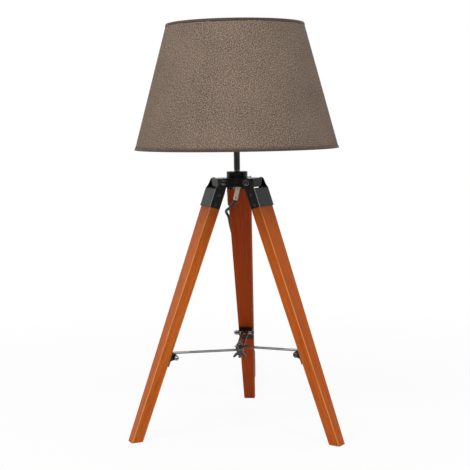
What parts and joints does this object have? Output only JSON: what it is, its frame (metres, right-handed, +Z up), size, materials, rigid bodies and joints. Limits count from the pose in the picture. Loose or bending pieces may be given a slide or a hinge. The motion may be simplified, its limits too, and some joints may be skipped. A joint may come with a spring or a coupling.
{
  "type": "tripod table lamp",
  "caption": "Table lamp on three hinged, tapered wooden legs with a slotted-strap spreader, a cast hub, a short stem and a tapered fabric drum shade.",
  "frame": {"origin": "centre of the bottom of the lamp's bounding box, on the table, the free cord left out", "axes": "+Z up, front towards -Y, between the left and right legs; the rear leg points to +Y"},
  "size_m": [0.3394, 0.6001, 0.65],
  "materials": {
    "hub_paint": "satin black stove enamel",
    "steel": "zinc plated",
    "nickel": "nickel plated",
    "stem_paint": "satin dark grey",
    "holder_plastic": "moulded black",
    "ceramic": "pale insulating core",
    "contact_brass": "plain",
    "cord_black": "smooth black sheath",
    "shade_fabric": "brown-grey slub weave on a stiff lining",
    "hem_tape": "dark woven tape",
    "shade_wire": "white enamel",
    "tie_fabric": "woven hook-and-loop",
    "plug_plastic": "moulded black",
    "rocker_plastic": "moulded black",
    "plug_nickel": "nickel plated pins with insulating sleeves left out",
    "leg_wood": "straight-grained, brown stain, satin lacquer",
    "ferrule_paint": "satin grey-black",
    "strap_paint": "satin black"
  },
  "bodies": {
    "lamp": {"hub_casting": "hub_paint", "grub_screw": "steel", "stem_nipple": "nickel", "stem_tube": "stem_paint", "cord_tab": "nickel", "hub_nut": "steel", "holder_cap": "holder_plastic", "holder_skirt": "holder_plastic", "holder_core": "ceramic", "holder_contacts": "contact_brass", "shade_ring": "holder_plastic", "inner_cable": "cord_black", "shade_cover": "shade_fabric", "shade_hems": "hem_tape", "shade_spider": "shade_wire", "shade_top_ring": "shade_wire", "shade_bottom_ring": "shade_wire", "cord_upper": "cord_black", "cord_lower": "cord_black", "cord_hank": "cord_black", "hank_tie": "tie_fabric", "switch_base": "plug_plastic", "switch_cover": "plug_plastic", "plug_body": "plug_plastic", "plug_pins": "plug_nickel"},
    "leg_left": {"leg_left": "leg_wood", "ferrule_left": "ferrule_paint", "ferrule_rivets_left": "steel", "spread_bracket_left": "strap_paint", "bracket_screws_left": "steel", "spread_pin_left": "steel", "pin_nut_left": "steel", "hinge_bolt_left": "steel", "hinge_nut_left": "steel"},
    "strap_left": {"strap_left": "strap_paint"},
    "leg_right": {"leg_right": "leg_wood", "ferrule_right": "ferrule_paint", "ferrule_rivets_right": "steel", "spread_bracket_right": "strap_paint", "bracket_screws_right": "steel", "spread_pin_right": "steel", "pin_nut_right": "steel", "hinge_bolt_right": "steel", "hinge_nut_right": "steel"},
    "strap_right": {"strap_right": "strap_paint"},
    "leg_rear": {"leg_rear": "leg_wood", "ferrule_rear": "ferrule_paint", "ferrule_rivets_rear": "steel", "spread_bracket_rear": "strap_paint", "bracket_screws_rear": "steel", "spread_pin_rear": "steel", "pin_nut_rear": "steel", "hinge_bolt_rear": "steel", "hinge_nut_rear": "steel"},
    "strap_rear": {"strap_rear": "strap_paint"},
    "centre_bolt": {"centre_bolt": "steel", "centre_washers": "steel"},
    "wing_nut": {"wing_nut": "steel"},
    "rocker": {"switch_rocker": "rocker_plastic"}
  },
  "joints": [
    {"name": "leg_left_hinge", "type": "hinge", "parent": "lamp", "child": "leg_left", "pos_m": [-0.02815, -0.03089, 0.4017], "axis": [0.5, -0.866, 0], "range_deg": [0, 17]},
    {"name": "strap_left_pivot", "type": "hinge", "parent": "leg_left", "child": "strap_left", "pos_m": [-0.10107, -0.07299, 0.12939], "axis": [0.5, -0.866, 0], "range_deg": [-17.5, 0.5]},
    {"name": "leg_right_hinge", "type": "hinge", "parent": "lamp", "child": "leg_right", "pos_m": [0.02815, -0.03089, 0.4017], "axis": [0.5, 0.866, 0], "range_deg": [0, 17]},
    {"name": "strap_right_pivot", "type": "hinge", "parent": "leg_right", "child": "strap_right", "pos_m": [0.09933, -0.07199, 0.13479], "axis": [0.5, 0.866, 0], "range_deg": [-17.5, 0.5]},
    {"name": "leg_rear_hinge", "type": "hinge", "parent": "lamp", "child": "leg_rear", "pos_m": [0, 0.01786, 0.4017], "axis": [-1, 0, 0], "range_deg": [0, 17]},
    {"name": "strap_rear_pivot", "type": "hinge", "parent": "leg_rear", "child": "strap_rear", "pos_m": [0, 0.10106, 0.13209], "axis": [-1, 0, 0], "range_deg": [-17.5, 0.5]},
    {"name": "bolt_slide", "type": "slide", "parent": "strap_left", "child": "centre_bolt", "axis": [-0.8644, -0.4991, 0.061], "range_m": [-0.001, 0.0841]},
    {"name": "wing_nut_turn", "type": "hinge", "parent": "centre_bolt", "child": "wing_nut", "pos_m": [0, -0.01464, 0.12627], "axis": [0, 0, 1], "continuous": true},
    {"name": "rocker_pivot", "type": "hinge", "parent": "lamp", "child": "rocker", "pos_m": [-0.005, 0.10659, 0.22022], "axis": [-1, 0, 0], "range_deg": [-16, 0]}
  ],
  "couplings": [
    {"joint": "leg_right_hinge", "follows": "leg_left_hinge", "ratio": 1},
    {"joint": "leg_rear_hinge", "follows": "leg_left_hinge", "ratio": 1},
    {"joint": "strap_left_pivot", "follows": "leg_left_hinge", "ratio": -1},
    {"joint": "strap_right_pivot", "follows": "leg_left_hinge", "ratio": -1},
    {"joint": "strap_rear_pivot", "follows": "leg_left_hinge", "ratio": -1},
    {"joint": "bolt_slide", "follows": "leg_left_hinge", "m_per_rad": 0.28}
  ]
}
